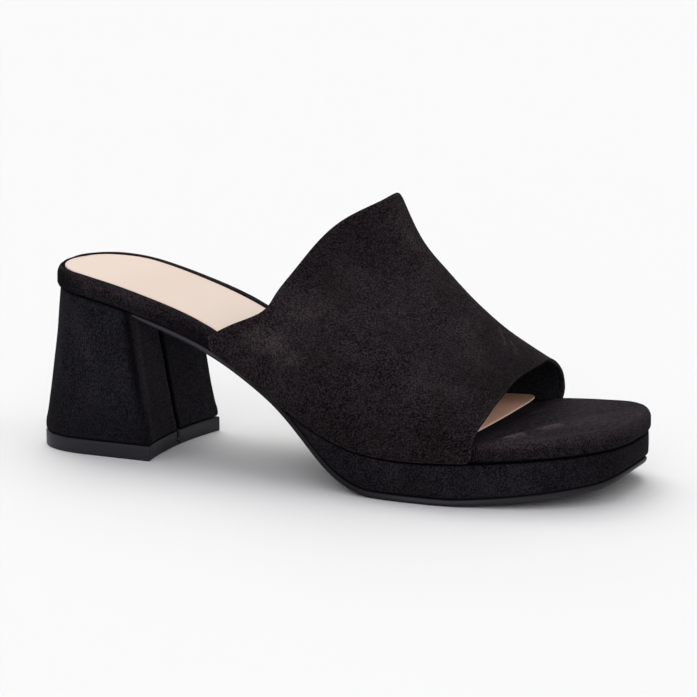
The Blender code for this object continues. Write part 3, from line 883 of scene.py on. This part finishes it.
# sections: down, back, breast, half width, side, hollow, exponent
heelTable = (
    (0.00, 0.3, 41.0, 27.5, 0.2, 1.0, 2.0), (0.45, -1.7, 44.4, 27.7, 0.2, 1.7, 2.3),
    (0.78, -4.3, 47.3, 28.0, 0.3, 2.4, 2.5), (1.00, -5.7, 49.2, 28.3, 0.4, 3.0, 2.65),
)
heel = {
    "rows": 74, "columns": 170, "levels": 60,
    "roundLength": 25.0, "corner": 1.8, "footRound": 1.3,
    "seam": (7.4, 2.6),  # side of the overlap at the top and at the foot
    "overlap": 0.7,
    "groove": 0.5,  # depth of the dip beside the overlap
    "bulge": 0.35, "ripple": 0.12,
    # along the lateral corner, a painted shade in the fold and a painted highlight beside it:
    # distance towards the breast, width, strength
    "cornerFoldShade": (-0.6, 1.5, 0.8),
    "cornerHighlight": (4.6, 1.8, 0.35),
    # painted shade under the footbed's edge, and darker towards the foot
    "seatShade": 0.8, "footShade": 0.30,
    "edges": (1.2, 0.2),  # of the overlap, a painted highlight on its edge, and of the foot, a paler band above it
    "breastLight": (0.22, 0.12),  # painted light on the breast: everywhere, and more on the overlap
    "rubs": (((12, 57), (26, 34), 5.0, 0.15), ((6, 60), (8, 26), 2.2, 0.18)),
    "look": {"Dark": (0.0018, 0.0017, 0.0023, 1), "Light": (0.0200, 0.0190, 0.0240, 1),
             "Slant": 1.35, "Lint": 0.8},
}
topPiece = {
    "rows": 60, "columns": 120,
    "thickness": 5.7, "round": 0.4, "lip": 0.2, "corner": 0.4,
    "notch": (-0.5, 1.2),  # sides between which the breast is notched
    "notchDepth": 1.6,
    "look": {"Base": (0.0080, 0.0070, 0.0102, 1), "Tone": (0.0115, 0.0102, 0.0146, 1),
             "Cell Scale": 2200.0, "Cloud Scale": 60.0, "Roughness": 0.50},
    "tints": rubberLightAndShade,
    "gloss": 0.3, "bump": (0.3, 0.00008),
}


# level outline of the heel: a straight breast with a hollow, and a superellipse behind
def heelLoop(down, corner, rows, columns, inset=0.0, cornerSteps=8):
    back, breast, width, middle, hollow, exponent = (
        float(curve(heelTable, column, down)) for column in range(1, 7))
    stations = crowded(back, breast - corner, rows, roundFirst=True)
    reach = (heel["roundLength"] - stations) / (heel["roundLength"] - back)
    side = width * rounded(reach, exponent, exponent)
    lateral = np.column_stack([stations, middle + side])
    medial = np.column_stack([stations, middle - side])
    sides = inward(outline(lateral, medial, corner, cornerSteps), inset)
    return closeLoop(sides, columns, -hollow)


# a flat surface
def flatAt(height):
    return lambda station: np.full_like(station, height)


# side of the overlap at a share of the way down, on a straight line
def seamSide(down):
    top, foot = heel["seam"]
    return top + (foot - top) * down


def makeHeel():
    foot = topPiece["thickness"] + shoe["gap"]
    rows, columns, small = heel["rows"], heel["columns"], heel["footRound"]
    # share of the way down, how far the cover has turned under, height added
    turns = np.linspace(0, pi / 2, 6)[:-1]
    levels = [(1.0, small * (1 - sin(t)), small * (1 - cos(t))) for t in turns]
    levels += [(down, 0.0, small * down**12) for down in np.linspace(1, 0, heel["levels"])]
    rings, past = [], []
    for down, inset, lift in levels:
        loop = heelLoop(down, heel["corner"], rows, columns, inset)
        corner = len(loop) // 2 - columns - 4
        around = pathLength(loop)
        past.append(around - around[corner])
        seat = platformTop(loop[:, 0])
        ring = np.column_stack([loop, foot + (seat - foot) * (1 - down) + lift])
        breast = np.zeros(len(loop))
        breast[corner - 1 : corner + columns + 10] = 1
        across = loop[:, 1] - seamSide(down)
        over = smooth(across, -0.35, 0.05) - smooth(across, 0.0, 9.0) * 0.5
        push = breast * (heel["overlap"] * over - heel["groove"] * bell(across + 1.3, 1.1))
        push = push + heel["bulge"] * bell(down - 0.95, 0.05)
        ripple = np.sin(loop[:, 0] / 6.1 + down * 9.0) * np.sin(loop[:, 1] / 8.3 - down * 7.0)
        push = push + heel["ripple"] * ripple * smooth(1 - abs(2 * down - 1), 0, 0.4)
        pushOut(ring, push)
        rings.append(ring)
    points, quads = solidFromRings(rings, columns, flatAt(foot), platformTop)
    station, side, height = points.T
    onBreast = smooth(station, 38, 40.5) * smooth(np.abs(side - 0.3), 27.4, 26.0)
    across = side - seamSide(1 - height / 62)
    # painted highlight on the overlap's edge, and painted shade beside it, past the groove
    seamEdge = bell(across - 0.5, 0.5) * onBreast
    seamShade = band(across, -5.2, -3.2, -0.5, -0.1) * onBreast
    # distance along the outline past the lateral corner, on the wall only
    past = np.concatenate([*past, np.full(len(points) - len(rings) * len(rings[0]), 99.0)])
    # painted shade in the fold along the lateral corner, and a painted highlight beside it
    tall = 0.60 + 0.40 * smooth(height, 12, 34)
    fold, ridge = (depth * bell(past - where, width) * tall
                   for where, width, depth in (heel["cornerFoldShade"], heel["cornerHighlight"]))
    # painted shade under the footbed, and towards the foot
    seatShade = heel["seatShade"] * smooth(height - footbedBottom(station), -1.1, -0.3)
    footShade = heel["footShade"] * smooth(height, 30, 8) * (1 - onBreast)
    shade = np.max([seamShade, seatShade, fold, footShade], axis=0)
    seamHighlight, footWear = heel["edges"]
    edge = seamHighlight * seamEdge + footWear * bell(height - foot - 1.0, 1.0)
    # painted light over the breast, more on the overlap
    plain, overlap = heel["breastLight"]
    rub = softMarks(station, height, heel["rubs"]) * (1 - onBreast) + ridge
    rub = rub + onBreast * (plain + overlap * smooth(across, 0, 0.4) * onBreast)
    piece = addPiece("heelWrap", points, quads, suedeMaterial("heelSuede", heel["look"]),
                     {"rub": rub, "edge": edge, "shade": shade, "level": 0})
    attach(piece, "root")
    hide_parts("heel")


def makeTopPiece():
    thick, small, columns = topPiece["thickness"], topPiece["round"], topPiece["columns"]

    # 1 in the notch of the breast, from a little above the ground
    def notch(station, side, height, soft):
        low, high = topPiece["notch"]
        inside = band(side, low - soft, low, high, high + soft) * (station > 40)
        return inside * smooth(height, thick * 0.2, thick * 0.3)

    levels = [(small, 0.0), (small * 0.3, small * 0.3), (0.0, small)]
    levels += [(0.0, small + (thick - 2 * small) * share) for share in (0.2, 0.45, 0.5, 0.8)]
    levels += [(0.0, thick - small), (small * 0.3, thick - small * 0.3), (small, thick)]
    rings = []
    for inset, height in levels:
        loop = heelLoop(1.0, topPiece["corner"], topPiece["rows"], columns,
                        inset - topPiece["lip"], 5)
        pushOut(loop, -topPiece["notchDepth"] * notch(*loop.T, height, 0.25))
        rings.append(np.column_stack([loop, np.full(len(loop), height)]))
    points, quads = solidFromRings(rings, columns, flatAt(0.0), flatAt(thick))
    # painted highlight along the top edge, and painted shade in the notch
    edge = 0.2 * smooth(points[:, 2], thick - 0.9, thick - 0.2)
    piece = addPiece("topPieceRubber", points, quads, grainMaterial("topPieceRubber", topPiece),
                     {"edge": edge, "shade": notch(*points.T, 0.3)}, sharp=35)
    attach(piece, "root")
    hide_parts("heel_top_piece")


# stations of the two edges: across (-100 medial base, 0 ridge, 100 lateral base), back, front
edges = (
    (-100, 35.0, 80.7), (-90, 37.4, 81.1), (-80, 41.7, 81.3), (-65, 47.7, 81.6),
    (-50, 53.2, 81.8), (-35, 57.2, 82.1), (-18, 58.3, 82.7), (0, 58.5, 83.6),
    (15, 57.3, 83.3), (30, 53.0, 82.8), (45, 49.6, 82.6), (60, 46.8, 82.1),
    (72, 44.4, 81.6), (82, 42.0, 81.0), (90, 37.1, 80.7), (100, 32.5, 80.3),
)
# sections from back to front: along, ridge height, ridge side, shoulder, flank
arches = (
    (0.00, 100.3, -6.0, 0.39, 0.33), (0.12, 87.0, -4.7, 0.40, 0.44),
    (0.30, 75.0, -4.1, 0.41, 0.50), (0.50, 63.5, -4.4, 0.45, 0.53),
    (0.75, 52.2, -4.9, 0.49, 0.54), (1.00, 43.1, -4.9, 0.55, 0.56),
)
upper = {
    "rows": 110, "columns": 230, "dropColumns": 12,
    "reach": (0.0, 1.0), "deepest": 1.0,
    "wall": 1.8, "lining": 0.55,
    "overhang": 2.0, "tuck": 1.0, "baseDrop": 1.0,
    "cornerRound": 4.2, "frontRound": 2.4, "turnedRound": 0.558,
    "waver": 0.10,
    "alongMm": 100.0, "acrossMm": 95.0,  # sizes of the sheet, for placing marks on it
    # soft folds: (along, across) of both ends in mm, width, height
    "folds": (
        ((68, -3), (85, 14), 1.1, 0.42), ((79, 2), (92, 13), 1.1, 0.42),
        ((73, 0.5), (88, 13.5), 1.1, -0.36), ((40, 24), (70, 32), 5.0, -0.60),
        ((54, 14), (76, 27), 4.0, 0.50), ((8, 44), (30, 36), 6.0, 0.55),
        ((5, 74), (30, 70), 5.0, -0.50), ((20, 84), (44, 78), 5.0, 0.42),
        ((3, 88), (16, 84), 3.0, 0.40), ((50, 55), (80, 62), 7.0, 0.45),
    ),
    # paler marks: brushed patches, and painted highlights along the folds
    "rubs": (
        ((4, 86), (18, 80), 5.0, 0.36), ((4, 74), (24, 52), 6.0, 0.21),
        ((2, 10), (20, 4), 9.0, 0.24), ((10, 84), (28, 82), 3.0, 0.24),
        ((8, 44), (28, 36), 7.0, 0.12), ((54, 14), (86, 34), 6.0, 0.20),
        ((68, -3), (85, 14), 1.2, 0.46), ((79, 2), (92, 13), 1.2, 0.40),
        ((60, 60), (92, 52), 9.0, 0.14), ((12, 0), (40, 12), 6.0, 0.10),
    ),
    "shades": (0.50, 0.22, 0.25),  # towards the front, on the lateral flank, at the back
    "edge": 0.6,
    "look": {"Dark": (0.0012, 0.0008, 0.0011, 1), "Light": (0.0310, 0.0255, 0.0285, 1),
             "Slant": 0.67, "Fibre Scale": 2250.0},
}
lining = {
    "rows": 80, "columns": 150, "dropColumns": 6,
    "reach": (0.022, 0.978), "deepest": 0.8,  # it stops short of the suede's edges
    "look": {"Dark": (0.0050, 0.0050, 0.0060, 1), "Light": (0.0210, 0.0210, 0.0250, 1),
             "Slant": 0.0, "Lint": 0.0},
}


# a cubic arch from the wall over the shoulder to the ridge at each place along the shoe;
# past -1 or 1, across runs down the lasted edge to its foot
def upperSurface(along, across):
    rim = np.clip(across, -1, 1)
    depth = np.clip(np.abs(across) - 1, 0, 1)
    back = curve(edges, 1, rim * 100) * shoe["length"] / 100
    front = curve(edges, 2, rim * 100) * shoe["length"] / 100
    station = back + (front - back) * along
    onLateral = rim >= 0
    baseBack, baseFront = np.where(onLateral, edges[-1][1], edges[0][1]), edges[0][2]
    base = (baseBack + (baseFront - baseBack) * along) * shoe["length"] / 100
    # both lower corners are cut round
    turn = np.clip((depth - 0.42) / 0.58, 0, 1)
    turn = 1 - np.sqrt(1 - turn**2)
    cut = turn * (upper["cornerRound"] * (1 - along) ** 10 - upper["frontRound"] * along**14)
    station, base = station + cut, base + cut
    wall = np.where(onLateral, halfBreadth(station, True) + upper["overhang"],
                    -halfBreadth(station, False) - upper["overhang"])
    foot = walkingLine(base) - upper["baseDrop"]
    ridge = curve(arches, 1, along) * shoe["instepHeight"] / 100
    middle, shoulder, flank = (curve(arches, column, along) for column in (2, 3, 4))
    t = np.abs(rim)
    outward = 3 * (1 - t) ** 2 * t * shoulder + 3 * (1 - t) * t**2 + t**3
    upward = (1 - t) ** 3 + 3 * (1 - t) ** 2 * t + 3 * (1 - t) * t**2 * flank
    side = middle + (wall - middle) * outward - np.sign(rim) * upper["tuck"] * depth**3
    height = foot + (ridge - foot) * upward
    height = height - (footbedThickness(base) - upper["baseDrop"]) * depth
    return np.stack([station, side, height], axis=-1)


# places a table's marks on the sheet
def sheetMarks(along, across, marks):
    return softMarks(along * upper["alongMm"], across * upper["acrossMm"], marks)


# the surface on a grid, moved along its normals by its folds, which fade at its edges; gives
# the grid, its outward normals and the two parameters
def upperGrid(sheet):
    drop = 1 + np.linspace(0, sheet["deepest"], sheet["dropColumns"] + 1)[1:]
    across = np.concatenate([-drop[::-1], np.linspace(-1, 1, sheet["columns"] + 1), drop])
    along = np.linspace(*sheet["reach"], sheet["rows"] + 1)[:, None]
    along, across = np.broadcast_arrays(along, across)
    grid = upperSurface(along, across)
    normal = unit(np.cross(np.gradient(grid, axis=1), np.gradient(grid, axis=0)))
    normal = normal * np.sign((normal * (grid - grid.mean(axis=(0, 1)))).sum())
    u, v = along * upper["alongMm"], across * upper["acrossMm"]
    relief = upper["waver"] * np.sin(u / 7.3 + v / 11.0) * np.sin(v / 6.1 - u / 17.0)
    relief = relief + sheetMarks(along, across, upper["folds"])
    fade = band(along, 0.0, 0.04, 0.97, 1.0) * smooth(np.abs(across), 1.02, 0.92)
    return grid + normal * (relief * fade)[..., None], normal, along, across


# quads of the sheet, and its thickness towards the inside
def addSheet(name, grid, material, masks, modifier, thickness):
    ids = np.arange(grid[..., 0].size).reshape(grid.shape[:2])
    piece = addPiece(name, grid, gridQuads(ids), material, masks, closed=False)
    wall = piece.modifiers.new(modifier, "SOLIDIFY")
    wall.thickness = thickness * 0.001
    wall.offset = -1.0
    return piece


def makeUpper():
    grid, _, along, across = upperGrid(upper)
    front, flank, back = upper["shades"]
    shade = front * smooth(along, 0.45, 1.0) * smooth(np.abs(across - 0.25), 0.6, 0.1)
    shade = shade + flank * smooth(across, 0.45, 0.9) * smooth(along, 0.25, 0.6)
    shade = shade + back * smooth(np.abs(across - 0.35), 0.35, 0.1) * smooth(along, 0.35, 0.1)
    # the edges stand paler, partly with wear and partly as a painted highlight, more at the lower
    # back corner
    edge = np.maximum(smooth(along, 0.012, 0), smooth(along, 0.988, 1))
    edge = np.maximum(edge, smooth(np.abs(across), 1.88, 1.98))
    edge = edge * (1 + 0.8 * smooth(across, 0.85, 1.1) * (along < 0.1)) * upper["edge"]
    piece = addSheet("upperSuede", grid, suedeMaterial("upperSuede", upper["look"]),
                     {"rub": sheetMarks(along, across, upper["rubs"]), "edge": edge,
                      "shade": shade, "level": 0}, "wall", upper["wall"] - upper["lining"])
    turned = piece.modifiers.new("turnedEdge", "BEVEL")
    turned.width = upper["turnedRound"] * 0.001
    turned.segments = 3
    turned.limit_method = "ANGLE"
    turned.angle_limit = radians(50)
    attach(piece, "root")
    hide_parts("upper")


# the lining lies against the inside of the suede
def makeLining():
    grid, normal = upperGrid(lining)[:2]
    grid = grid - normal * (upper["wall"] - upper["lining"])
    piece = addSheet("upperLining", grid, suedeMaterial("liningCloth", lining["look"]),
                     dict(rub=0, edge=0, shade=0, level=0), "cloth", upper["lining"])
    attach(piece, "root")


makeOutsole()
makePlatform()
print("sole: outsole and platform")
makeFootbed()
makeInsole()
print("footbed: wrap and sock")
makeHeel()
makeTopPiece()
print("heel: cover and top piece")
makeUpper()
makeLining()
print("upper: suede and lining")


studio = {
    "floorSize": 12.0, "floor": (0.640, 0.640, 0.640),
    "world": 0.03, "worldColour": (0.90, 0.88, 1.0),
    # soft lamps far away: name, where its light comes from, strength, width in degrees, colour
    "lamps": (
        ("frontLamp", (-0.85, -0.35, 0.40), 1.70, 50, (1.0, 0.985, 1.03)),
        ("sideLamp", (-0.55, 0.55, 0.62), 0.45, 50, (1.0, 0.985, 1.03)),
        ("farLamp", (0.70, 0.10, 0.70), 0.50, 50, (1.0, 1.0, 1.0)),
        ("backLamp", (0.55, 0.55, 0.62), 1.55, 50, (1.0, 1.01, 0.98)),
        ("toeLamp", (0.10, -0.80, 0.60), 0.80, 50, (1.0, 1.0, 1.0)),
        ("highLamp", (0.35, 0.15, 0.92), 0.95, 50, (1.0, 1.01, 0.98)),
        ("topLamp", (0.0, 0.0, 1.0), 1.02, 50, (1.0, 0.985, 1.02)),
    ),
}


def makeFloor():
    half = studio["floorSize"] / 2
    mesh = bpy.data.meshes.new("studioFloor")
    corners = [(-half, -half, 0), (half, -half, 0), (half, half, 0), (-half, half, 0)]
    mesh.from_pydata(corners, [], [(0, 1, 2, 3)])
    material, tree, surface = newMaterial("floorPaper")
    tone = studio["floor"]
    near = tuple(value * 0.998 for value in tone)
    colour = mixColours(noise(objectPlace(tree), 3.0, 2.0), (*near, 1), (*tone, 1))
    fill(surface, {"Base Color": colour, "Roughness": 1.0, "Specular IOR Level": 0.0})
    mesh.materials.append(material)
    addObject("studioFloor", mesh)


def makeLight():
    world = bpy.data.worlds.new("studioWorld")
    bpy.context.scene.world = world
    world.use_nodes = True
    background = world.node_tree.nodes["Background"]
    fill(background, {0: (*studio["worldColour"], 1), 1: studio["world"]})
    for name, fromWhere, strength, width, colour in studio["lamps"]:
        light = bpy.data.lights.new(name, "SUN")
        light.energy, light.angle, light.color = strength, radians(width), colour
        turn = Vector(fromWhere).to_track_quat("Z", "Y")
        addObject(name, light).rotation_euler = turn.to_euler()


view = {
    "eye": (-0.84464, -0.40523, 0.23131),
    "target": (0.0008, -0.0058, 0.0438),
    "lens": 132.65, "roll": -0.27,
}


def makeCamera():
    data = bpy.data.cameras.new("camera")
    data.lens, data.sensor_width, data.clip_end = view["lens"], 36.0, 50.0
    camera = addObject("camera", data)
    camera.location = view["eye"]
    aim = Vector(view["target"]) - Vector(view["eye"])
    turn = aim.to_track_quat("-Z", "Y").to_matrix().to_4x4()
    roll = Euler((0, 0, radians(view["roll"]))).to_matrix().to_4x4()
    camera.rotation_euler = (turn @ roll).to_euler()
    bpy.context.scene.camera = camera


makeFloor()
makeLight()
makeCamera()
bpy.context.scene.view_settings.view_transform = "Standard"
print("studio: floor, light and camera")
